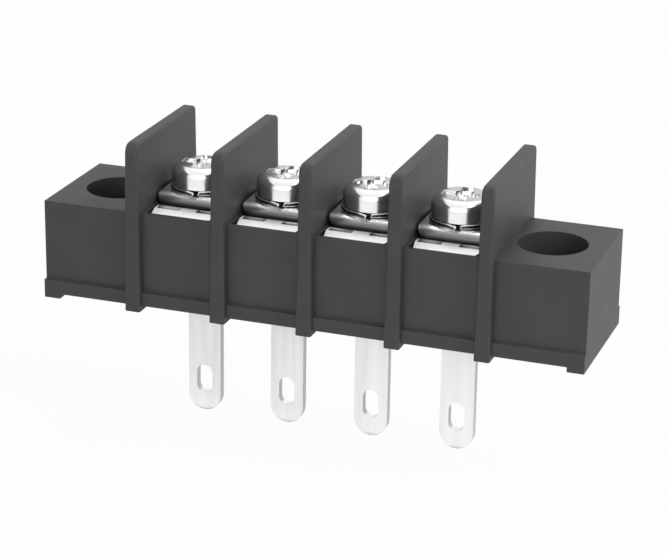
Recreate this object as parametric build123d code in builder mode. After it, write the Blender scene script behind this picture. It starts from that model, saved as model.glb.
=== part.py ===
from build123d import *
import os
from math import cos, radians, sin

os.makedirs("parts", exist_ok=True)

# Solder terminal block, four poles. Origin at the middle of the base plane
# the feet stand on; X along the row of poles, front towards -Y, +Z up.

# Row of poles
pitch = 9.5
poles = 4
pole_x = [pitch * (i - (poles - 1) / 2) for i in range(poles)]
barrier_x = [pitch * (i - poles / 2) for i in range(poles + 1)]

# Moulded housing
body_length = 58.8
body_depth = 13.9
body_top = 10.62
foot_height = 0.52
end_foot_width = 1.8
skirt_depth = 14.95
skirt_top = 2.01
barrier_foot_width = 1.69
barrier_foot_depth = 16.2
barrier_height = 18.28
barrier_draft = 0.53
barrier_front_corner = 1.1
barrier_rear_corner = 0.6
barrier_bevel = 0.15
ear_hole_spacing = 5 * pitch
ear_bore_radius = 3.63
ear_bore_depth = 7.6
ear_screw_radius = 2.15

# Bay under each terminal
bay_width = 7.5
bay_front = -5.6
bay_rear = 5.65
bay_floor = 2.2
seat_front = -6.5
underside_relief = 0.6
slot_clearance = 0.08

# Folded terminal strip
plate_top = 10.55
strip_thickness = 0.97
plate_width = 7.3
plate_front = -6.45
plate_rear = 5.6
front_corner_width = 0.45
front_corner_length = 1.95
groove_front = -4.48
groove_rear = -3.5
groove_inner = 0.93
groove_outer = 3.45
groove_depth = 0.35
bend_outer = 1.2
bend_inner = 0.23
shoulder_z = 6.2
collar_radius = 2.75
collar_length = 1.3
tapped_radius = 1.75
leg_width = 3.7
leg_front = 0.25
leg_bottom = -13.7
eyelet_width = 1.75
eyelet_length = 3.2
eyelet_z = -10.1

# Captive clamp plate, lock washer and screw
clamp_width = 7.6
clamp_depth = 7.2
clamp_bottom = 10.57
clamp_top = 11.85
clamp_thickness = 0.7
clamp_roll = 1.2
clamp_corner = 0.6
clamp_hole_radius = 1.58
washer_radius = 3.42
washer_bore_radius = 1.9
washer_bottom = 11.87
washer_thickness = 0.56
washer_edge = 0.13
washer_cut_width = 0.55
washer_cut_x = 0.5
washer_cut_slant = 25
head_base = 12.45
head_radius = 3.25
head_height = 2.2
head_shoulder = 1.0
shoulder_bands = 4
shank_radius = 1.7
neck_radius = 1.5
neck_bottom = 11.1
shank_bottom = 4.95
shank_chamfer = 0.45
recess_width = 1.3
recess_length = 4.4
recess_heart = 2.33
recess_depth = 1.4
recess_taper = 8
recess_turn = 3


# Barrier columns: drafted, with rounded top corners and bevelled side edges
with BuildPart() as barriers:
    with BuildSketch(Plane.XY):
        with Locations(*[(x, 0) for x in barrier_x]):
            Rectangle(barrier_foot_width, barrier_foot_depth)
    extrude(amount=barrier_height, taper=barrier_draft)
    top_edges = barriers.edges().filter_by(Axis.X).group_by(Axis.Z)[-1]
    fillet(top_edges.group_by(Axis.Y)[0], barrier_front_corner)
    top_edges = barriers.edges().filter_by(Axis.X).group_by(Axis.Z)[-1]
    fillet(top_edges.group_by(Axis.Y)[-1], barrier_rear_corner)
    side_faces = barriers.faces().filter_by(lambda f: abs(f.normal_at().X) > 0.9)
    chamfer(side_faces.edges().filter_by(lambda e: e.center().Z > barrier_bevel), barrier_bevel)


# Housing: low body with a skirt band, barriers between the poles, two ears
with BuildPart() as housing:
    with BuildSketch(Plane.XY.offset(foot_height)):
        Rectangle(body_length, body_depth)
    extrude(amount=body_top - foot_height)
    with BuildSketch(Plane.XY.offset(foot_height)):
        Rectangle(body_length, skirt_depth)
    extrude(amount=skirt_top - foot_height)
    with BuildSketch(Plane.XY):
        with Locations(
            (-(body_length - end_foot_width) / 2, 0), ((body_length - end_foot_width) / 2, 0)
        ):
            Rectangle(end_foot_width, skirt_depth)
    extrude(amount=foot_height)

    add(barriers.part)

    # Bays that take the folded terminals
    with BuildSketch(Plane.XY.offset(bay_floor)):
        with Locations(*[(x, (bay_front + bay_rear) / 2) for x in pole_x]):
            Rectangle(bay_width, bay_rear - bay_front)
    extrude(amount=body_top - bay_floor, mode=Mode.SUBTRACT)
    with BuildSketch(Plane.XY.offset(plate_top - strip_thickness)):
        with Locations(*[(x, (seat_front + bay_front) / 2) for x in pole_x]):
            Rectangle(bay_width, bay_front - seat_front)
    extrude(amount=body_top - plate_top + strip_thickness, mode=Mode.SUBTRACT)

    # Relief under each pole and the slot the solder lug comes out of
    with BuildSketch(Plane.XY.offset(foot_height)):
        with Locations(*[(x, 0) for x in pole_x]):
            Rectangle(bay_width - 0.8, body_depth - 3.4)
    extrude(amount=underside_relief, mode=Mode.SUBTRACT)
    with BuildSketch(Plane.XY):
        with Locations(*[(x, leg_front + strip_thickness / 2) for x in pole_x]):
            Rectangle(leg_width + 2 * slot_clearance, strip_thickness + 2 * slot_clearance)
    extrude(amount=bay_floor, mode=Mode.SUBTRACT)

    # Mounting holes in the ears, bored wide from above
    with Locations((-ear_hole_spacing / 2, 0, body_top), (ear_hole_spacing / 2, 0, body_top)):
        CounterBoreHole(ear_screw_radius, ear_bore_radius, ear_bore_depth)
housing.part.label = "housing"
export_step(housing.part, "parts/housing.step")


# Terminal strip: tapped plate on top, folded down at the rear and forward
# along the floor of the bay, then straight down as the solder lug
inner_y = plate_rear - strip_thickness
inner_z = plate_top - strip_thickness
shelf_top = bay_floor + strip_thickness
leg_rear = leg_front + strip_thickness
lug_centre_z = leg_bottom + leg_width / 2
outer_folds = ((plate_rear, plate_top), (plate_rear, bay_floor), (leg_front, shelf_top))
inner_folds = ((inner_y, inner_z), (inner_y, shelf_top), (leg_rear, bay_floor))


def folds_at(part, places):
    return part.edges().filter_by(Axis.X).filter_by(
        lambda e: any(abs(e.center().Y - y) < 0.01 and abs(e.center().Z - z) < 0.01 for y, z in places)
    )


for number, x in enumerate(pole_x, 1):
    with BuildPart() as terminal:
        # Wide part: plate and the upper half of the rear fold
        with BuildSketch(Plane.YZ.offset(x)):
            with BuildLine():
                Polyline(
                    (plate_front, plate_top),
                    (plate_rear, plate_top),
                    (plate_rear, shoulder_z),
                    (inner_y, shoulder_z),
                    (inner_y, inner_z),
                    (plate_front, inner_z),
                    close=True,
                )
            make_face()
        extrude(amount=plate_width / 2, both=True)
        # Narrow part: lower half of the fold, shelf and leg
        with BuildSketch(Plane.YZ.offset(x)):
            with BuildLine():
                Polyline(
                    (plate_rear, shoulder_z + 0.5),
                    (plate_rear, bay_floor),
                    (leg_rear, bay_floor),
                    (leg_rear, lug_centre_z),
                    (leg_front, lug_centre_z),
                    (leg_front, shelf_top),
                    (inner_y, shelf_top),
                    (inner_y, shoulder_z + 0.5),
                    close=True,
                )
            make_face()
        extrude(amount=leg_width / 2, both=True)
        fillet(folds_at(terminal, outer_folds), bend_outer)
        fillet(folds_at(terminal, inner_folds), bend_inner)
        # Rounded end and eyelet of the lug
        with BuildSketch(Plane.XZ.offset(-leg_front)):
            with Locations((x, lug_centre_z)):
                Circle(leg_width / 2)
        extrude(amount=-strip_thickness)
        with BuildSketch(Plane.XZ.offset(-leg_front)):
            with Locations((x, eyelet_z)):
                SlotOverall(eyelet_length, eyelet_width, rotation=90)
        extrude(amount=-strip_thickness, mode=Mode.SUBTRACT)
        # Collar drawn down round the tapped screw hole
        with BuildSketch(Plane.XY.offset(inner_z)):
            with Locations((x, 0)):
                Circle(collar_radius)
        extrude(amount=-collar_length)
        with BuildSketch(Plane.XY.offset(plate_top)):
            with Locations((x, 0)):
                Circle(tapped_radius)
        extrude(amount=-(strip_thickness + collar_length), mode=Mode.SUBTRACT)
        # Cut front corners and two coined grooves beside the central land
        for side in (-1, 1):
            edge = x + side * plate_width / 2
            with BuildSketch(Plane.XY.offset(plate_top)):
                with BuildLine():
                    Polyline(
                        (edge, plate_front),
                        (edge - side * front_corner_width, plate_front),
                        (edge, plate_front + front_corner_length),
                        close=True,
                    )
                make_face()
            extrude(amount=-strip_thickness, mode=Mode.SUBTRACT)
        groove_x = (groove_inner + groove_outer) / 2
        groove_y = (groove_front + groove_rear) / 2
        with BuildSketch(Plane.XY.offset(plate_top)):
            with Locations((x - groove_x, groove_y), (x + groove_x, groove_y)):
                Rectangle(groove_outer - groove_inner, groove_rear - groove_front)
        extrude(amount=-groove_depth, mode=Mode.SUBTRACT)
    terminal.part.label = f"terminal_lug_{number}"
    export_step(terminal.part, f"parts/terminal_lug_{number}.step")


# Wire clamp: square plate with the front and rear edges rolled down
for number, x in enumerate(pole_x, 1):
    with BuildPart() as clamp:
        with BuildSketch(Plane.YZ.offset(x)):
            with Locations((0, (clamp_bottom + clamp_top) / 2)):
                Rectangle(clamp_depth, clamp_top - clamp_bottom)
        extrude(amount=clamp_width / 2, both=True)
        fillet(clamp.edges().filter_by(Axis.X).group_by(Axis.Z)[-1], clamp_roll)
        with BuildSketch(Plane.XY.offset(clamp_bottom)):
            with Locations((x, 0)):
                Rectangle(clamp_width, clamp_depth - 2 * clamp_thickness)
        extrude(amount=clamp_top - clamp_thickness - clamp_bottom, mode=Mode.SUBTRACT)
        with BuildSketch(Plane.XY.offset(clamp_bottom)):
            with Locations((x, 0)):
                RectangleRounded(clamp_width, clamp_depth, clamp_corner)
        extrude(amount=clamp_top - clamp_bottom, mode=Mode.INTERSECT)
        with BuildSketch(Plane.XY.offset(clamp_top)):
            with Locations((x, 0)):
                Circle(clamp_hole_radius)
        extrude(amount=-clamp_thickness, mode=Mode.SUBTRACT)
    clamp.part.label = f"wire_clamp_{number}"
    export_step(clamp.part, f"parts/wire_clamp_{number}.step")


# Split lock washer: ring with a bevelled outer edge and a slanted cut at the front
washer_top = washer_bottom + washer_thickness
cut_centre = (washer_cut_x, (washer_bottom + washer_top) / 2)
for number, x in enumerate(pole_x, 1):
    with BuildPart() as washer:
        with BuildSketch(Plane(origin=(x, 0, 0), x_dir=(1, 0, 0), z_dir=(0, -1, 0))):
            with BuildLine():
                Polyline(
                    (washer_bore_radius, washer_bottom),
                    (washer_radius, washer_bottom),
                    (washer_radius, washer_top - washer_edge),
                    (washer_radius - washer_edge, washer_top),
                    (washer_bore_radius, washer_top),
                    close=True,
                )
            make_face()
        revolve(axis=Axis((x, 0, 0), (0, 0, 1)))
        with BuildSketch(Plane(origin=(x, 0, 0), x_dir=(1, 0, 0), z_dir=(0, -1, 0))):
            with Locations(Location(cut_centre, -washer_cut_slant)):
                Rectangle(washer_cut_width, 3 * washer_thickness)
        extrude(amount=2 * washer_radius, mode=Mode.SUBTRACT)
    washer.part.label = f"lock_washer_{number}"
    export_step(washer.part, f"parts/lock_washer_{number}.step")


# Terminal screw: pan head with a cross recess, neck under the head, shank.
# The rounded shoulder of the head is drawn as narrow conical bands.
head_top = head_base + head_height
shoulder_angles = [radians(90 * band / shoulder_bands) for band in range(shoulder_bands + 1)]
shoulder = [
    (
        head_radius - head_shoulder * (1 - cos(angle)),
        head_top - head_shoulder * (1 - sin(angle)),
    )
    for angle in shoulder_angles
]
for number, x in enumerate(pole_x, 1):
    with BuildPart() as screw:
        with BuildSketch(Plane(origin=(x, 0, 0), x_dir=(1, 0, 0), z_dir=(0, -1, 0))):
            with BuildLine():
                Polyline(
                    (0, head_top),
                    (0, shank_bottom),
                    (shank_radius - shank_chamfer, shank_bottom),
                    (shank_radius, shank_bottom + shank_chamfer),
                    (shank_radius, neck_bottom),
                    (neck_radius, neck_bottom),
                    (neck_radius, head_base),
                    (head_radius, head_base),
                    *shoulder,
                    close=True,
                )
            make_face()
        revolve(axis=Axis((x, 0, 0), (0, 0, 1)))
        # Four wings, and the slanted facets between them
        with BuildSketch(Plane.XY.offset(head_top)):
            with Locations(Location((x, 0), recess_turn)):
                Rectangle(recess_length, recess_width)
                Rectangle(recess_width, recess_length)
                Rectangle(recess_heart, recess_heart, rotation=45)
        extrude(amount=-recess_depth, taper=recess_taper, mode=Mode.SUBTRACT)
    screw.part.label = f"terminal_screw_{number}"
    export_step(screw.part, f"parts/terminal_screw_{number}.step")
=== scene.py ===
import math

import bmesh
import bpy
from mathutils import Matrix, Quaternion, Vector


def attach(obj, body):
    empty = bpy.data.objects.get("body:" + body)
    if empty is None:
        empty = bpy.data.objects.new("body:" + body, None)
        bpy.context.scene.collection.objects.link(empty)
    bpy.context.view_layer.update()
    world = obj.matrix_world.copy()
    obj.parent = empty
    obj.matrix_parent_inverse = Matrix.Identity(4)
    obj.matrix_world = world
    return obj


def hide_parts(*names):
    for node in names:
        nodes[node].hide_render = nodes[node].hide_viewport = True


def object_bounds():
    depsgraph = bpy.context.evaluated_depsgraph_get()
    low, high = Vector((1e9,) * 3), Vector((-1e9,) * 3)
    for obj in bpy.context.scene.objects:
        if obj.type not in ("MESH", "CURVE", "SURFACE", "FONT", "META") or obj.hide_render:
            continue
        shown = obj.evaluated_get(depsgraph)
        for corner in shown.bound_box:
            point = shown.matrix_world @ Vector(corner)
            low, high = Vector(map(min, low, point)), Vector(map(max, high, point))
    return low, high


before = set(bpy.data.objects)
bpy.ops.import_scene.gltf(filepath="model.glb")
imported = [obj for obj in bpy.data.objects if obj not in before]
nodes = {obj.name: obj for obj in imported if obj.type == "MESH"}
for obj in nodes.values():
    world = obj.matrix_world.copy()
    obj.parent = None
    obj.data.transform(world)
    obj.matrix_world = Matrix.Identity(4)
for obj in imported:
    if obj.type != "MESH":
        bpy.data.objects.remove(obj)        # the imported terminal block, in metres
cad_low, cad_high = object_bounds()

# Looks of a four pole solder terminal block. One unit is a metre, mm is a millimetre.
mm = 0.001
poles = range(1, 5)
middle_pole = 2.5
pole_pitch = 9.5 * mm

# Camera, fitted to the edges of the photographed object
camera_azimuth = math.radians(19.21)
camera_elevation = math.radians(20.38)
camera_roll = math.radians(0.884)
camera_target = Vector((0.391, -0.026, 3.709)) * mm
camera_distance = 255.36 * mm
camera_lens = 131.92
sensor_width = 36

# Screws: thread from the tip up to the plain neck under the head
thread_crest = 1.74 * mm
thread_root = 1.42 * mm
thread_pitch = 0.6 * mm
thread_bottom = 4.95 * mm
thread_top = 11.1 * mm
thread_run_out = 0.45 * mm
thread_flank_start = 0.12
thread_flank_slope = 1.32
thread_sides = 48
thread_rows = 164
neck_overlap = 0.1 * mm      # how far the closed neck reaches into the thread
neck_margin = 0.01 * mm      # tolerance in picking the CAD shank's faces

# Screw heads: flat face, rounded shoulder and straight side, turned about the screw's axis
head_radius = 3.25 * mm
head_base = 12.45 * mm
head_shoulder = 1.0 * mm
head_top = 14.65 * mm
head_foot = 0.1 * mm         # faces this close to the base keep their own normals
head_match = 0.97            # and so do faces that turn away from the profile

# Split washers: one turn of a flat spring, its low end bent down over the clamp's rolled edge
washer_outer = 3.42 * mm
washer_inner = 1.9 * mm
washer_middle = 12.185 * mm
washer_thickness = 0.43 * mm
washer_rise = 0.06 * mm
washer_round = 0.13 * mm
washer_cut = math.radians(-81.6)
washer_gap = math.radians(9.4)
washer_lean = 0.47
tip_share = 0.035
tip_drop = 0.16 * mm
washer_points = 180
washer_corner_steps = 3
washer_end_share = 0.499

# Rounding of the outer edges: widths, and the angles in degrees above which an edge is sharp
housing_edge = 0.05 * mm
strip_edge = 0.06 * mm
clamp_edge = 0.05 * mm
screw_edge = 0.035 * mm
housing_angle = 25
screw_angle = 30
sheet_angle = 35
thread_angle = 40
washer_angle = 45

# Textures: where clouds and streaks begin and end to change a finish, and the masks' samples
texture_low = 0.3
texture_high = 0.7
edge_samples = 6
shade_samples = 12

# Housing colour and the metals' colours, linear
plastic_dark = (0.050, 0.050, 0.051, 1)
plastic_light = (0.0615, 0.0615, 0.0625, 1)
# edge wear and painted highlight along the housing's outer edges
plastic_wear_and_highlight = (0.085, 0.085, 0.087, 1)
# painted shade for the housing's holes and corners
plastic_painted_shade = (0.012, 0.012, 0.012, 1)
tin_light = (0.815, 0.815, 0.81, 1)
tin_dull = (0.77, 0.77, 0.765, 1)
# edge wear and painted highlight along the strip's outer edges
tin_wear_and_highlight = (0.97, 0.97, 0.97, 1)
tin_sheared = (0.55, 0.55, 0.55, 1)
# painted top light: white on the strip's upward faces
tin_painted_top_light = (1, 1, 1, 1)
clamp_light = (0.95, 0.95, 0.95, 1)
clamp_dull = (0.86, 0.86, 0.86, 1)
# painted shade at the foot of the clamp's rolled edges
clamp_painted_dark = (0.012, 0.012, 0.012, 1)
spring_light = (0.10, 0.10, 0.105, 1)
spring_dull = (0.04, 0.04, 0.042, 1)
# painted highlight on the washer's rims, also the colour of its cut ends
spring_highlight_and_cut_end = (0.90, 0.90, 0.90, 1)
screw_light = (0.92, 0.92, 0.91, 1)
screw_dull = (0.84, 0.84, 0.83, 1)
# painted shade: darker grey on the head's flat face
screw_painted_face_shade = (0.52, 0.52, 0.52, 1)
# painted shade for the metals' gaps, grooves and recesses
metal_painted_shade = (0.02, 0.02, 0.02, 1)

# Clamp's painted shade: brightness by height, from the roll's lower part up to the flat top
clamp_painted_shade_bottom = 10.57 * mm
clamp_painted_shade_top = 11.67 * mm
clamp_painted_shade_steps = (
    (0.18, 0.005), (0.32, 0.012), (0.42, 0.03), (0.51, 0.10), (0.60, 0.19),
    (0.73, 0.30), (0.84, 0.42), (0.91, 0.8), (0.97, 1),
)

# Studio, in metres and watts. Each lamp has a name, a place, a width, a height and a power.
floor_half = 1.5
floor_white = 0.96
world_fill = 0.075
lamps = (
    ("overhead_softbox", (-0.05, 0.22, 0.58), 0.34, 0.34, 1.05),
    ("front_softbox", (0.05, -0.60, 0.12), 0.50, 0.40, 1.6),
    ("right_softbox", (0.49, -0.06, 0.46), 0.45, 0.45, 2.95),
    ("left_softbox", (-0.50, -0.15, 0.40), 0.45, 0.45, 0.12),
    ("rear_softbox", (0.34, 0.55, 0.12), 0.45, 0.35, 0.4),
)


def new_group(name, inputs, outputs, tree_type="ShaderNodeTree"):
    """A node group with named inputs and outputs, for a material or for a shape."""
    group = bpy.data.node_groups.new(name, tree_type)
    for label, kind, value in inputs:
        socket = group.interface.new_socket(label, in_out="INPUT", socket_type="NodeSocket" + kind)
        if value is not None:
            socket.default_value = value
    for label, kind in outputs:
        group.interface.new_socket(label, in_out="OUTPUT", socket_type="NodeSocket" + kind)
    start = group.nodes.new("NodeGroupInput")
    end = group.nodes.new("NodeGroupOutput")
    return group, start, end


def moulded_grain():
    """Fine spark-eroded grain of a mould, with a faint cloudiness in the colour."""
    group, start, end = new_group(
        "moulded_grain",
        [("Vector", "Vector", None), ("Grain", "Float", 9000), ("Clouds", "Float", 260)],
        [("Height", "Float"), ("Cloud", "Float")],
    )
    grain = group.nodes.new("ShaderNodeTexNoise")
    grain.inputs["Detail"].default_value = 3
    grain.inputs["Roughness"].default_value = 0.65
    clouds = group.nodes.new("ShaderNodeTexNoise")
    clouds.inputs["Detail"].default_value = 4
    links = group.links
    links.new(start.outputs["Vector"], grain.inputs["Vector"])
    links.new(start.outputs["Grain"], grain.inputs["Scale"])
    links.new(start.outputs["Vector"], clouds.inputs["Vector"])
    links.new(start.outputs["Clouds"], clouds.inputs["Scale"])
    links.new(grain.outputs["Fac"], end.inputs["Height"])
    links.new(clouds.outputs["Fac"], end.inputs["Cloud"])
    return group


def rolled_lines():
    """Long fine lines left by rolling or turning, stretched along one direction."""
    group, start, end = new_group(
        "rolled_lines",
        [("Vector", "Vector", None), ("Stretch", "Vector", (9000, 400, 9000))],
        [("Height", "Float"), ("Streak", "Float")],
    )
    spread = group.nodes.new("ShaderNodeVectorMath")
    spread.operation = "MULTIPLY"
    lines = group.nodes.new("ShaderNodeTexNoise")
    lines.inputs["Scale"].default_value = 1
    lines.inputs["Detail"].default_value = 3
    broad = group.nodes.new("ShaderNodeTexNoise")
    broad.inputs["Scale"].default_value = 0.12
    broad.inputs["Detail"].default_value = 2
    links = group.links
    links.new(start.outputs["Vector"], spread.inputs[0])
    links.new(start.outputs["Stretch"], spread.inputs[1])
    links.new(spread.outputs["Vector"], lines.inputs["Vector"])
    links.new(spread.outputs["Vector"], broad.inputs["Vector"])
    links.new(lines.outputs["Fac"], end.inputs["Height"])
    links.new(broad.outputs["Fac"], end.inputs["Streak"])
    return group


def worn_and_highlit_edge():
    """Mask that is 1 along outer edges and 0 on open faces and in inner corners, for edge wear and a painted
    edge highlight.
    """
    group, start, end = new_group(
        "worn_and_highlit_edge",
        [("Width", "Float", 0.0002), ("Contrast", "Float", 4)],
        [("Edge", "Float")],
    )
    rounded = group.nodes.new("ShaderNodeBevel")
    rounded.samples = edge_samples
    shape = group.nodes.new("ShaderNodeNewGeometry")
    likeness = group.nodes.new("ShaderNodeVectorMath")
    likeness.operation = "DOT_PRODUCT"
    turned = group.nodes.new("ShaderNodeMath")
    turned.operation = "SUBTRACT"
    turned.inputs[0].default_value = 1
    stronger = group.nodes.new("ShaderNodeMath")
    stronger.operation = "MULTIPLY"
    stronger.use_clamp = True
    near = group.nodes.new("ShaderNodeAmbientOcclusion")
    near.samples = edge_samples
    outer = group.nodes.new("ShaderNodeMapRange")
    outer.inputs["From Min"].default_value = 0.75
    outer.inputs["From Max"].default_value = 0.95
    kept = group.nodes.new("ShaderNodeMath")
    kept.operation = "MULTIPLY"
    links = group.links
    links.new(start.outputs["Width"], near.inputs["Distance"])
    links.new(near.outputs["AO"], outer.inputs["Value"])
    links.new(start.outputs["Width"], rounded.inputs["Radius"])
    links.new(rounded.outputs["Normal"], likeness.inputs[0])
    links.new(shape.outputs["Normal"], likeness.inputs[1])
    links.new(likeness.outputs["Value"], turned.inputs[1])
    links.new(turned.outputs["Value"], stronger.inputs[0])
    links.new(start.outputs["Contrast"], stronger.inputs[1])
    links.new(stronger.outputs["Value"], kept.inputs[0])
    links.new(outer.outputs["Result"], kept.inputs[1])
    links.new(kept.outputs["Value"], end.inputs["Edge"])
    return group


def painted_crevice_shade():
    """Mask that is 0 on open faces and rises to 1 in narrow gaps and corners, where painted shade is laid."""
    group, start, end = new_group(
        "painted_crevice_shade",
        [("Reach", "Float", 0.001), ("Open", "Float", 0.9), ("Closed", "Float", 0.2)],
        [("Shade", "Float")],
    )
    near = group.nodes.new("ShaderNodeAmbientOcclusion")
    near.samples = shade_samples
    ease = group.nodes.new("ShaderNodeMapRange")
    ease.interpolation_type = "SMOOTHSTEP"
    links = group.links
    links.new(start.outputs["Reach"], near.inputs["Distance"])
    links.new(near.outputs["AO"], ease.inputs["Value"])
    links.new(start.outputs["Open"], ease.inputs["From Min"])
    links.new(start.outputs["Closed"], ease.inputs["From Max"])
    links.new(ease.outputs["Result"], end.inputs["Shade"])
    return group


def facing():
    """How squarely a face looks along an axis: one way only, or either way."""
    group, start, end = new_group(
        "facing",
        [("Normal", "Vector", None), ("Axis", "Vector", (0, 0, 1)),
         ("Low", "Float", 0.5), ("High", "Float", 0.9)],
        [("One Way", "Float"), ("Either Way", "Float")],
    )
    along = group.nodes.new("ShaderNodeVectorMath")
    along.operation = "DOT_PRODUCT"
    size = group.nodes.new("ShaderNodeMath")
    size.operation = "ABSOLUTE"
    links = group.links
    links.new(start.outputs["Normal"], along.inputs[0])
    links.new(start.outputs["Axis"], along.inputs[1])
    links.new(along.outputs["Value"], size.inputs[0])
    for value, label in ((along.outputs["Value"], "One Way"), (size.outputs["Value"], "Either Way")):
        ease = group.nodes.new("ShaderNodeMapRange")
        ease.interpolation_type = "SMOOTHSTEP"
        links.new(value, ease.inputs["Value"])
        links.new(start.outputs["Low"], ease.inputs["From Min"])
        links.new(start.outputs["High"], ease.inputs["From Max"])
        links.new(ease.outputs["Result"], end.inputs[label])
    return group


def height_share():
    """Rises from 0 to 1 between two heights on the piece."""
    group, start, end = new_group(
        "height_share",
        [("Vector", "Vector", None), ("Low", "Float", 0.0), ("High", "Float", 0.001)],
        [("Share", "Float")],
    )
    parts = group.nodes.new("ShaderNodeSeparateXYZ")
    rise = group.nodes.new("ShaderNodeMapRange")
    links = group.links
    links.new(start.outputs["Vector"], parts.inputs["Vector"])
    links.new(parts.outputs["Z"], rise.inputs["Value"])
    links.new(start.outputs["Low"], rise.inputs["From Min"])
    links.new(start.outputs["High"], rise.inputs["From Max"])
    links.new(rise.outputs["Result"], end.inputs["Share"])
    return group


grain_group = moulded_grain()
lines_group = rolled_lines()
wear_and_highlight_group = worn_and_highlit_edge()
painted_shade_group = painted_crevice_shade()
facing_group = facing()
height_group = height_share()


class Finish:
    """A material being built: its nodes, its links, its shader and its object coordinates."""

    def __init__(self, name):
        self.material = bpy.data.materials.new(name)
        self.material.use_nodes = True
        tree = self.material.node_tree
        self.nodes = tree.nodes
        self.links = tree.links
        self.shader = tree.nodes["Principled BSDF"]
        self.place = self.nodes.new("ShaderNodeTexCoord")

    def group(self, group, **values):
        """A node group in the material, fed with place and normal, its other inputs set by name."""
        node = self.nodes.new("ShaderNodeGroup")
        node.node_tree = group
        for label, source in (("Vector", "Object"), ("Normal", "Normal")):
            if label in node.inputs:
                self.links.new(self.place.outputs[source], node.inputs[label])
        for label, value in values.items():
            node.inputs[label.capitalize()].default_value = value
        return node

    def ramp(self, socket, *stops):
        """A value turned into a colour by a row of stops, each a place and a colour."""
        node = self.nodes.new("ShaderNodeValToRGB")
        marks = node.color_ramp.elements
        while len(marks) < len(stops):
            marks.new(0.5)
        for mark, (place, colour) in zip(marks, stops):
            mark.position = place
            mark.color = colour
        self.links.new(socket, node.inputs["Fac"])
        return node.outputs["Color"]

    def spread(self, socket, low, high, least, most):
        """A value between low and high mapped onto least to most."""
        node = self.nodes.new("ShaderNodeMapRange")
        node.inputs["From Min"].default_value = low
        node.inputs["From Max"].default_value = high
        node.inputs["To Min"].default_value = least
        node.inputs["To Max"].default_value = most
        self.links.new(socket, node.inputs["Value"])
        return node.outputs["Result"]

    def mix(self, mask, first, last):
        """One colour or the other, by a mask."""
        node = self.nodes.new("ShaderNodeMix")
        node.data_type = "RGBA"
        self.links.new(mask, node.inputs["Factor"])
        for side, colour in (("A", first), ("B", last)):
            socket = [s for s in node.inputs if s.name == side and s.type == "RGBA"][0]
            if isinstance(colour, tuple):
                socket.default_value = colour
            else:
                self.links.new(colour, socket)
        return [s for s in node.outputs if s.type == "RGBA"][0]

    def worn_and_highlit(self, colour, width, wear_and_highlight):
        """The colour, with another along outer edges, as edge wear and a painted edge highlight."""
        return self.mix(self.group(wear_and_highlight_group, width=width).outputs["Edge"], colour, wear_and_highlight)

    def with_painted_shade(self, colour, shade_colour, reach, least_shut, most_shut, most):
        """The colour, with a painted shade colour gathering in gaps and corners."""
        shade = self.group(painted_shade_group, reach=reach, open=least_shut, closed=most_shut)
        return self.mix(self.spread(shade.outputs["Shade"], 0, 1, 0, most), colour, shade_colour)

    def bump(self, height, depth):
        """Relief of the given depth on the shader."""
        node = self.nodes.new("ShaderNodeBump")
        node.inputs["Strength"].default_value = 1
        node.inputs["Distance"].default_value = depth
        self.links.new(height, node.inputs["Height"])
        self.links.new(node.outputs["Normal"], self.shader.inputs["Normal"])

    def colour(self, socket):
        """The shader's colour."""
        self.links.new(socket, self.shader.inputs["Base Color"])

    def roughness(self, socket):
        """The shader's roughness."""
        self.links.new(socket, self.shader.inputs["Roughness"])


def moulded_plastic():
    """Dark moulding with a fine grain, paler along its edges from wear and a painted highlight, and darkened
    by painted shade in its holes and corners.
    """
    finish = Finish("moulded_charcoal_plastic")
    finish.shader.inputs["Specular IOR Level"].default_value = 0.3
    grain = finish.group(grain_group)
    cloud = grain.outputs["Cloud"]
    cloudy = finish.ramp(cloud, (texture_low, plastic_dark), (texture_high, plastic_light))
    # edge wear and a painted highlight along outer edges
    worn_and_highlit = finish.worn_and_highlit(cloudy, width=0.12 * mm, wear_and_highlight=plastic_wear_and_highlight)
    # painted shade darkens the housing's holes and corners
    finish.colour(finish.with_painted_shade(worn_and_highlit, plastic_painted_shade, reach=3 * mm,
                                least_shut=0.75, most_shut=0.05, most=0.55))
    finish.roughness(finish.spread(cloud, texture_low, texture_high, least=0.50, most=0.58))
    finish.bump(grain.outputs["Height"], depth=0.004 * mm)
    return finish.material


def plated(name, light, dull, stretch, smooth, rough, depth):
    """A metal finish with fine lines, duller and rougher in streaks, and its colour so far."""
    finish = Finish(name)
    finish.shader.inputs["Metallic"].default_value = 1
    lines = finish.group(lines_group, stretch=stretch)
    streak = lines.outputs["Streak"]
    finish.roughness(finish.spread(streak, texture_low, texture_high, least=rough, most=smooth))
    finish.bump(lines.outputs["Height"], depth)
    return finish, finish.ramp(streak, (texture_low, dull), (texture_high, light))


def tinned_strip():
    """Matt tin, painted white on its upward faces as painted top light, greyer on the sheared sides, with
    painted shade in the grooves and gaps.
    """
    finish, coat = plated("tinned_strip", tin_light, tin_dull, stretch=(9000, 500, 500),
                          smooth=0.62, rough=0.72, depth=0.0006 * mm)
    # painted top light on the faces that look upward
    painted_top_light = finish.group(facing_group, axis=(0, 0, 1), low=0.5, high=0.9)
    coat = finish.mix(painted_top_light.outputs["One Way"], coat, tin_painted_top_light)
    sides = finish.group(facing_group, axis=(1, 0, 0), low=0.5, high=0.9)
    coat = finish.mix(sides.outputs["Either Way"], coat, tin_sheared)
    coat = finish.worn_and_highlit(coat, width=0.1 * mm, wear_and_highlight=tin_wear_and_highlight)
    # painted shade darkens grooves and gaps in the strip
    finish.colour(finish.with_painted_shade(coat, metal_painted_shade, reach=1 * mm, least_shut=0.7, most_shut=0.3, most=0.85))
    return finish.material


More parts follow.
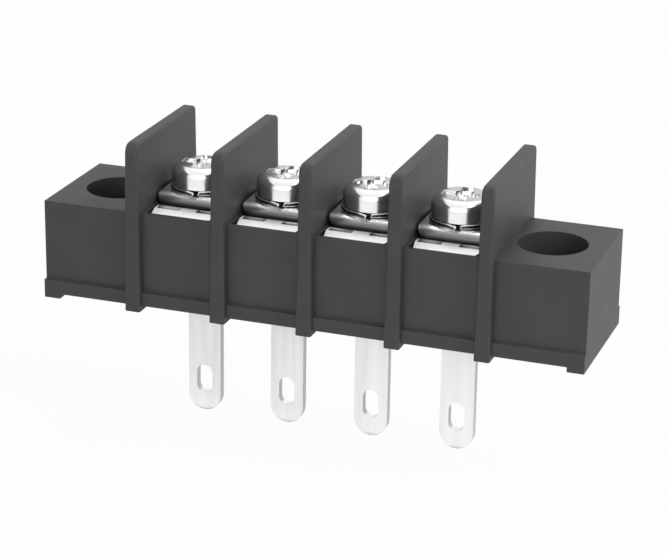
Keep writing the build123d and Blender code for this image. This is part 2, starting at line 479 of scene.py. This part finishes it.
def clamp_plating():
    """Bright plating, with painted shade darkening it by height down the rolled edges."""
    finish, coat = plated("plated_clamp", clamp_light, clamp_dull, stretch=(500, 9000, 9000),
                          smooth=0.18, rough=0.26, depth=0.0004 * mm)
    # painted shade: the colour darkens towards the foot of the roll
    rise = finish.group(height_group, low=clamp_painted_shade_bottom, high=clamp_painted_shade_top)
    stops = [(place, (share, share, share, 1)) for place, share in clamp_painted_shade_steps]
    bright = finish.ramp(rise.outputs["Share"], *stops)
    finish.colour(finish.mix(bright, clamp_painted_dark, coat))
    return finish.material


def spring_steel():
    """Dark spring steel, with a painted highlight on its flat faces and rounded rims, and bright on its cut
    ends.
    """
    finish, coat = plated("plated_spring_steel", spring_light, spring_dull, stretch=(5000, 5000, 9000),
                          smooth=0.2, rough=0.3, depth=0.0004 * mm)
    # painted highlight on faces turned up or down
    painted_rims = finish.group(facing_group, axis=(0, 0, 1), low=0.25, high=0.7)
    coat = finish.mix(painted_rims.outputs["Either Way"], coat, spring_highlight_and_cut_end)
    cut = finish.nodes.new("ShaderNodeAttribute")
    cut.attribute_name = "cut_end"
    finish.colour(finish.mix(cut.outputs["Fac"], coat, spring_highlight_and_cut_end))
    return finish.material


def screw_plating():
    """Bright plating, painted darker grey on the flat face of the head as painted shade, with painted shade
    in the recess and narrow corners.
    """
    finish, coat = plated("plated_screw", screw_light, screw_dull, stretch=(3000, 3000, 9000),
                          smooth=0.16, rough=0.24, depth=0.0003 * mm)
    # painted shade on the flat face of the head
    painted_face = finish.group(height_group, low=14.58 * mm, high=14.64 * mm)
    coat = finish.mix(painted_face.outputs["Share"], coat, screw_painted_face_shade)
    # painted shade darkens the recess and narrow corners
    finish.colour(finish.with_painted_shade(coat, metal_painted_shade, reach=0.7 * mm, least_shut=0.75, most_shut=0.25, most=0.7))
    return finish.material


def paint(piece, material):
    """One material on all faces of a piece."""
    piece.data.materials.clear()
    piece.data.materials.append(material)
    for face in piece.data.polygons:
        face.material_index = 0


plastic = moulded_plastic()
tin = tinned_strip()
clamp_metal = clamp_plating()
spring_metal = spring_steel()
screw_metal = screw_plating()


def link(name, data):
    """A new object at the origin, with a mesh, lamp or camera as its data."""
    thing = bpy.data.objects.new(name, data)
    bpy.context.scene.collection.objects.link(thing)
    return thing


def pole_centre(pole):
    """Where a pole lies along the block."""
    return (pole - middle_pole) * pole_pitch


def made_plain(piece):
    """Works the piece's modifiers into a plain mesh."""
    shape = piece.evaluated_get(bpy.context.evaluated_depsgraph_get())
    mesh = bpy.data.meshes.new_from_object(shape)
    piece.modifiers.clear()
    piece.data = mesh
    mesh.name = piece.name


def smoothed(mesh, angle):
    """Curved faces run together, and edges sharper than the angle stay sharp."""
    for face in mesh.polygons:
        face.use_smooth = True
    mesh.set_sharp_from_angle(angle=math.radians(angle))


def whole_copy(name):
    """A copy of a CAD node's mesh as one closed skin, with the triangles of flat faces joined up."""
    skin = bmesh.new()
    skin.from_mesh(nodes[name].data)
    bmesh.ops.remove_doubles(skin, verts=skin.verts, dist=0.0005 * mm)
    bmesh.ops.dissolve_limit(skin, angle_limit=math.radians(0.05), verts=skin.verts, edges=skin.edges)
    return skin


def softened(name, skin, width, angle):
    """A piece from a skin, every outer edge sharper than the angle rounded by a small width."""
    skin.normal_update()
    rounding = skin.edges.layers.float.new("bevel_weight_edge")
    for edge in skin.edges:
        if edge.is_manifold and edge.is_convex and edge.calc_face_angle() > math.radians(angle):
            edge[rounding] = 1
    mesh = bpy.data.meshes.new(name)
    skin.to_mesh(mesh)
    skin.free()
    smoothed(mesh, angle)
    piece = link(name, mesh)
    soft = piece.modifiers.new("soft_edges", "BEVEL")
    soft.width = width
    soft.segments = 2
    soft.limit_method = "WEIGHT"
    even = piece.modifiers.new("even_faces", "WEIGHTED_NORMAL")
    even.keep_sharp = True
    even.weight = 50
    made_plain(piece)
    return piece


def sum_of(tree, operation, *values, clamp=False):
    """The result of one sum in a tree, from numbers and sockets."""
    node = tree.nodes.new("ShaderNodeMath")
    node.operation = operation
    node.use_clamp = clamp
    for socket, value in zip(node.inputs, values):
        if isinstance(value, bpy.types.NodeSocket):
            tree.links.new(value, socket)
        else:
            socket.default_value = value
    return node.outputs["Value"]


def placed(tree, shape, x, y, z):
    """The shape with each point moved to x, y, z."""
    point = tree.nodes.new("ShaderNodeCombineXYZ")
    for socket, value in zip(point.inputs, (x, y, z)):
        tree.links.new(value, socket)
    move = tree.nodes.new("GeometryNodeSetPosition")
    tree.links.new(shape, move.inputs["Geometry"])
    tree.links.new(point.outputs["Vector"], move.inputs["Position"])
    return move.outputs["Geometry"]


def point_parts(tree):
    """The x, y and z of each point."""
    place = tree.nodes.new("GeometryNodeInputPosition")
    parts = tree.nodes.new("ShaderNodeSeparateXYZ")
    tree.links.new(place.outputs["Position"], parts.inputs["Vector"])
    return parts.outputs


def tree_end(tree, end, shape, material):
    """Realize Instances and Set Material, then the tree's output."""
    real = tree.nodes.new("GeometryNodeRealizeInstances")
    coat = tree.nodes.new("GeometryNodeSetMaterial")
    coat.inputs["Material"].default_value = material
    tree.links.new(shape, real.inputs["Geometry"])
    tree.links.new(real.outputs["Geometry"], coat.inputs["Geometry"])
    tree.links.new(coat.outputs["Geometry"], end.inputs["Geometry"])


def thread_tree():
    """A right-hand thread cut into a shank: the radius rises and falls along a helix."""
    tree, start, end = new_group(
        "screw_thread",
        [("Centre", "Float", 0.0), ("Crest", "Float", thread_crest), ("Root", "Float", thread_root),
         ("Pitch", "Float", thread_pitch), ("Bottom", "Float", thread_bottom), ("Top", "Float", thread_top),
         ("Run Out", "Float", thread_run_out), ("Sides", "Int", thread_sides), ("Rows", "Int", thread_rows)],
        [("Geometry", "Geometry")],
        "GeometryNodeTree",
    )
    tree.is_modifier = True
    size = start.outputs
    length = sum_of(tree, "SUBTRACT", size["Top"], size["Bottom"])
    shank = tree.nodes.new("GeometryNodeMeshCylinder")
    tree.links.new(size["Sides"], shank.inputs["Vertices"])
    tree.links.new(size["Rows"], shank.inputs["Side Segments"])
    tree.links.new(length, shank.inputs["Depth"])
    shank.inputs["Radius"].default_value = 1
    x, y, z = point_parts(tree)
    height = sum_of(tree, "ADD", z, sum_of(tree, "MULTIPLY", length, 0.5))
    turn = sum_of(tree, "DIVIDE", sum_of(tree, "ARCTAN2", y, x), 2 * math.pi)
    climb = sum_of(tree, "SUBTRACT", sum_of(tree, "DIVIDE", height, size["Pitch"]), turn)
    wave = sum_of(tree, "MULTIPLY", sum_of(tree, "PINGPONG", climb, 0.5), 2)
    flank = sum_of(tree, "MULTIPLY", sum_of(tree, "SUBTRACT", wave, thread_flank_start),
                   thread_flank_slope, clamp=True)
    spare = sum_of(tree, "MINIMUM", height, sum_of(tree, "SUBTRACT", length, height))
    fade = sum_of(tree, "DIVIDE", spare, size["Run Out"], clamp=True)
    ridge = sum_of(tree, "MULTIPLY", sum_of(tree, "MULTIPLY", flank, fade),
                   sum_of(tree, "SUBTRACT", size["Crest"], size["Root"]))
    radius = sum_of(tree, "ADD", size["Root"], ridge)
    shape = placed(
        tree, shank.outputs["Mesh"],
        sum_of(tree, "ADD", sum_of(tree, "MULTIPLY", x, radius), size["Centre"]),
        sum_of(tree, "MULTIPLY", y, radius),
        sum_of(tree, "ADD", height, size["Bottom"]),
    )
    tree_end(tree, end, shape, screw_metal)
    return tree


def washer_tree():
    """A split spring washer: a flat bar along one falling turn, cut on a slant, low tip bent down."""
    tree, start, end = new_group(
        "split_washer",
        [("Centre", "Float", 0.0), ("Outer", "Float", washer_outer), ("Inner", "Float", washer_inner),
         ("Middle", "Float", washer_middle), ("Thickness", "Float", washer_thickness),
         ("Rise", "Float", washer_rise), ("Round", "Float", washer_round), ("Cut", "Float", washer_cut),
         ("Gap", "Float", washer_gap), ("Lean", "Float", washer_lean), ("Tip Share", "Float", tip_share),
         ("Tip Drop", "Float", tip_drop), ("Points", "Int", washer_points)],
        [("Geometry", "Geometry")],
        "GeometryNodeTree",
    )
    tree.is_modifier = True
    size = start.outputs
    middle_radius = sum_of(tree, "MULTIPLY", sum_of(tree, "ADD", size["Outer"], size["Inner"]), 0.5)
    line = tree.nodes.new("GeometryNodeCurvePrimitiveLine")
    line.inputs["End"].default_value = (1, 0, 0)
    divided = tree.nodes.new("GeometryNodeResampleCurve")
    tree.links.new(line.outputs["Curve"], divided.inputs["Curve"])
    tree.links.new(size["Points"], divided.inputs["Count"])
    along = tree.nodes.new("GeometryNodeSplineParameter").outputs["Factor"]
    kept = tree.nodes.new("GeometryNodeCaptureAttribute")
    kept.capture_items.new("FLOAT", "Share")
    tree.links.new(divided.outputs["Curve"], kept.inputs["Geometry"])
    tree.links.new(along, kept.inputs["Share"])
    share = kept.outputs["Share"]
    first = sum_of(tree, "ADD", size["Cut"], sum_of(tree, "MULTIPLY", size["Gap"], 0.5))
    turn = sum_of(tree, "SUBTRACT", 2 * math.pi, size["Gap"])
    angle = sum_of(tree, "ADD", first, sum_of(tree, "MULTIPLY", share, turn))
    fall = sum_of(tree, "MULTIPLY", sum_of(tree, "SUBTRACT", 0.5, share), size["Rise"])
    path = placed(
        tree, kept.outputs["Geometry"],
        sum_of(tree, "MULTIPLY", sum_of(tree, "COSINE", angle), middle_radius),
        sum_of(tree, "MULTIPLY", sum_of(tree, "SINE", angle), middle_radius),
        sum_of(tree, "ADD", size["Middle"], fall),
    )
    upright = tree.nodes.new("GeometryNodeSetCurveNormal")
    upright.mode = "Z_UP"
    tree.links.new(path, upright.inputs["Curve"])
    bar = tree.nodes.new("GeometryNodeCurvePrimitiveQuadrilateral")
    tree.links.new(sum_of(tree, "SUBTRACT", size["Outer"], size["Inner"]), bar.inputs["Width"])
    tree.links.new(size["Thickness"], bar.inputs["Height"])
    soft = tree.nodes.new("GeometryNodeFilletCurve")
    soft.mode = "POLY"
    soft.inputs["Count"].default_value = washer_corner_steps
    tree.links.new(bar.outputs["Curve"], soft.inputs["Curve"])
    tree.links.new(size["Round"], soft.inputs["Radius"])
    swept = tree.nodes.new("GeometryNodeCurveToMesh")
    swept.inputs["Fill Caps"].default_value = True
    tree.links.new(upright.outputs["Curve"], swept.inputs["Curve"])
    tree.links.new(soft.outputs["Curve"], swept.inputs["Profile Curve"])
    x, y, z = point_parts(tree)
    radius = sum_of(tree, "SQRT", sum_of(tree, "ADD", sum_of(tree, "MULTIPLY", x, x),
                                         sum_of(tree, "MULTIPLY", y, y)))
    above = sum_of(tree, "SUBTRACT", z, size["Middle"])
    slant = sum_of(tree, "DIVIDE", sum_of(tree, "MULTIPLY", above, size["Lean"]), radius)
    leaned = sum_of(tree, "ADD", sum_of(tree, "ARCTAN2", y, x), slant)
    to_tip = sum_of(tree, "DIVIDE", sum_of(tree, "SUBTRACT", 1, share), size["Tip Share"], clamp=True)
    outward = sum_of(tree, "DIVIDE", sum_of(tree, "SUBTRACT", radius, middle_radius),
                     sum_of(tree, "SUBTRACT", size["Outer"], middle_radius), clamp=True)
    near_tip = sum_of(tree, "SUBTRACT", 1, to_tip)
    bent = sum_of(tree, "MULTIPLY", sum_of(tree, "MULTIPLY", near_tip, outward), size["Tip Drop"])
    from_middle = sum_of(tree, "ABSOLUTE", sum_of(tree, "SUBTRACT", share, 0.5))
    marked = tree.nodes.new("GeometryNodeStoreNamedAttribute")
    marked.inputs["Name"].default_value = "cut_end"
    tree.links.new(sum_of(tree, "GREATER_THAN", from_middle, washer_end_share), marked.inputs["Value"])
    tree.links.new(swept.outputs["Mesh"], marked.inputs["Geometry"])
    shape = placed(
        tree, marked.outputs["Geometry"],
        sum_of(tree, "ADD", sum_of(tree, "MULTIPLY", sum_of(tree, "COSINE", leaned), radius), size["Centre"]),
        sum_of(tree, "MULTIPLY", sum_of(tree, "SINE", leaned), radius),
        sum_of(tree, "SUBTRACT", z, bent),
    )
    tree_end(tree, end, shape, spring_metal)
    return tree


def grown(name, tree, **sizes):
    """A plain piece made by a Geometry Nodes tree with the given sizes."""
    piece = link(name, bpy.data.meshes.new(name))
    maker = piece.modifiers.new("maker", "NODES")
    maker.node_group = tree
    for item in tree.interface.items_tree:
        if item.in_out == "INPUT" and item.name in sizes:
            maker[item.identifier] = sizes[item.name]
    made_plain(piece)
    return piece


def turned_shading(mesh, centre):
    """Gives the head's flat, shoulder and side the smooth normals of its turned profile."""
    flat = head_radius - head_shoulder
    side_top = head_top - head_shoulder

    def profile_normal(point):
        out = Vector((point.x - centre, point.y, 0))
        reach = out.length
        out.normalize()
        if point.z <= side_top:
            return out
        if reach <= flat:
            return Vector((0, 0, 1))
        return (out * (reach - flat) + Vector((0, 0, point.z - side_top))).normalized()

    normals = [corner.vector.copy() for corner in mesh.corner_normals]
    for face in mesh.polygons:
        on_neck = face.center.z < head_base + head_foot
        if on_neck or profile_normal(face.center).dot(face.normal) < head_match:
            continue
        for corner in face.loop_indices:
            normals[corner] = profile_normal(mesh.vertices[mesh.loops[corner].vertex_index].co)
    mesh.normals_split_custom_set(normals)


def finished_head(pole):
    """The CAD head and neck, closed where the thread begins."""
    skin = whole_copy(f"terminal_screw_{pole}")
    shank_end = thread_top + neck_margin
    shank = [face for face in skin.faces if all(v.co.z < shank_end for v in face.verts)]
    bmesh.ops.delete(skin, geom=shank, context="FACES")
    rim = [edge for edge in skin.edges if edge.is_boundary]
    for corner in {v for edge in rim for v in edge.verts}:
        corner.co.z = thread_top - neck_overlap
    bmesh.ops.holes_fill(skin, edges=rim, sides=0)
    bmesh.ops.recalc_face_normals(skin, faces=skin.faces)
    head = softened(f"finished_screw_{pole}", skin, screw_edge, screw_angle)
    turned_shading(head.data, pole_centre(pole))
    return head


def hand_over(piece, material, body, slot, *replaced):
    """Gives a finished piece its material and its CAD body, and hides the CAD nodes that it stands for."""
    paint(piece, material)
    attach(piece, body)
    if replaced:
        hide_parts(*replaced)


thread = thread_tree()
split_washer = washer_tree()
hand_over(softened("finished_housing", whole_copy("housing"), housing_edge, housing_angle),
          plastic, "block", "housing", "housing")
for pole in poles:
    centre = pole_centre(pole)
    strip = f"terminal_lug_{pole}"
    clamp = f"wire_clamp_{pole}"
    screw = f"terminal_screw_{pole}"
    shank = grown(f"screw_thread_{pole}", thread, Centre=centre)
    smoothed(shank.data, thread_angle)
    washer = grown(f"finished_washer_{pole}", split_washer, Centre=centre)
    smoothed(washer.data, washer_angle)
    hand_over(softened(f"finished_lug_{pole}", whole_copy(strip), strip_edge, sheet_angle),
              tin, "block", "tinned_strip", strip)
    hand_over(softened(f"finished_clamp_{pole}", whole_copy(clamp), clamp_edge, sheet_angle),
              clamp_metal, f"clamp_{pole}", "plated_clamp", clamp)
    hand_over(washer, spring_metal, f"clamp_{pole}", "spring_washer", f"lock_washer_{pole}")
    hand_over(finished_head(pole), screw_metal, f"screw_{pole}", "plated_screw", screw)
    hand_over(shank, screw_metal, f"screw_{pole}", "plated_screw")


def seen_directly(tree):
    """1 for rays from the camera and mirrored rays, 0 for the rays that light the pieces."""
    rays = tree.nodes.new("ShaderNodeLightPath")
    return sum_of(tree, "MAXIMUM", rays.outputs["Is Camera Ray"], rays.outputs["Is Glossy Ray"])


def white_floor():
    """A matt floor under the lugs that the camera and mirrored rays see as white."""
    sides = ((-1, -1), (1, -1), (1, 1), (-1, 1))
    corners = [(x * floor_half, y * floor_half, cad_low.z) for x, y in sides]
    mesh = bpy.data.meshes.new("floor")
    mesh.from_pydata(corners, [], [(0, 1, 2, 3)])
    floor = link("floor", mesh)
    material = bpy.data.materials.new("white_paper_floor")
    material.use_nodes = True
    tree = material.node_tree
    shader = tree.nodes["Principled BSDF"]
    shader.inputs["Base Color"].default_value = (0.85, 0.85, 0.85, 1)
    shader.inputs["Roughness"].default_value = 0.9
    shader.inputs["Specular IOR Level"].default_value = 0
    white = tree.nodes.new("ShaderNodeEmission")
    blend = tree.nodes.new("ShaderNodeMixShader")
    links = tree.links
    links.new(sum_of(tree, "MULTIPLY", seen_directly(tree), floor_white), blend.inputs["Fac"])
    links.new(shader.outputs["BSDF"], blend.inputs[1])
    links.new(white.outputs["Emission"], blend.inputs[2])
    links.new(blend.outputs["Shader"], tree.nodes["Material Output"].inputs["Surface"])
    mesh.materials.append(material)


def white_surroundings():
    """White to the camera and in mirrored rays, and a faint fill light for everything else."""
    world = bpy.data.worlds.new("white_studio")
    bpy.context.scene.world = world
    world.use_nodes = True
    tree = world.node_tree
    light = tree.nodes["Background"]
    light.inputs["Color"].default_value = (1, 1, 1, 1)
    light.inputs["Strength"].default_value = world_fill
    white = tree.nodes.new("ShaderNodeBackground")
    white.inputs["Color"].default_value = (1, 1, 1, 1)
    white.inputs["Strength"].default_value = 1
    blend = tree.nodes.new("ShaderNodeMixShader")
    links = tree.links
    links.new(seen_directly(tree), blend.inputs["Fac"])
    links.new(light.outputs["Background"], blend.inputs[1])
    links.new(white.outputs["Background"], blend.inputs[2])
    links.new(blend.outputs["Shader"], tree.nodes["World Output"].inputs["Surface"])


def soft_lamp(name, position, width, height, watts):
    """A rectangular softbox that faces the middle of the block."""
    data = bpy.data.lights.new(name, "AREA")
    data.shape = "RECTANGLE"
    data.size = width
    data.size_y = height
    data.energy = watts
    lamp = link(name, data)
    lamp.location = Vector(position)
    lamp.rotation_mode = "QUATERNION"
    lamp.rotation_quaternion = (-lamp.location).to_track_quat("-Z", "Y")


def studio_camera():
    """The camera at the photograph's viewing angle."""
    data = bpy.data.cameras.new("camera")
    data.sensor_fit = "HORIZONTAL"
    data.sensor_width = sensor_width
    data.lens = camera_lens
    data.clip_start = 0.01
    camera = link("camera", data)
    level = math.cos(camera_elevation)
    away = Vector((
        math.sin(camera_azimuth) * level,
        -math.cos(camera_azimuth) * level,
        math.sin(camera_elevation),
    ))
    camera.location = camera_target + away * camera_distance
    camera.rotation_mode = "QUATERNION"
    camera.rotation_quaternion = (-away).to_track_quat("-Z", "Y") @ Quaternion((0, 0, 1), camera_roll)
    bpy.context.scene.camera = camera


white_floor()
white_surroundings()
for lamp in lamps:
    soft_lamp(*lamp)
studio_camera()
bpy.context.scene.view_settings.view_transform = "Standard"
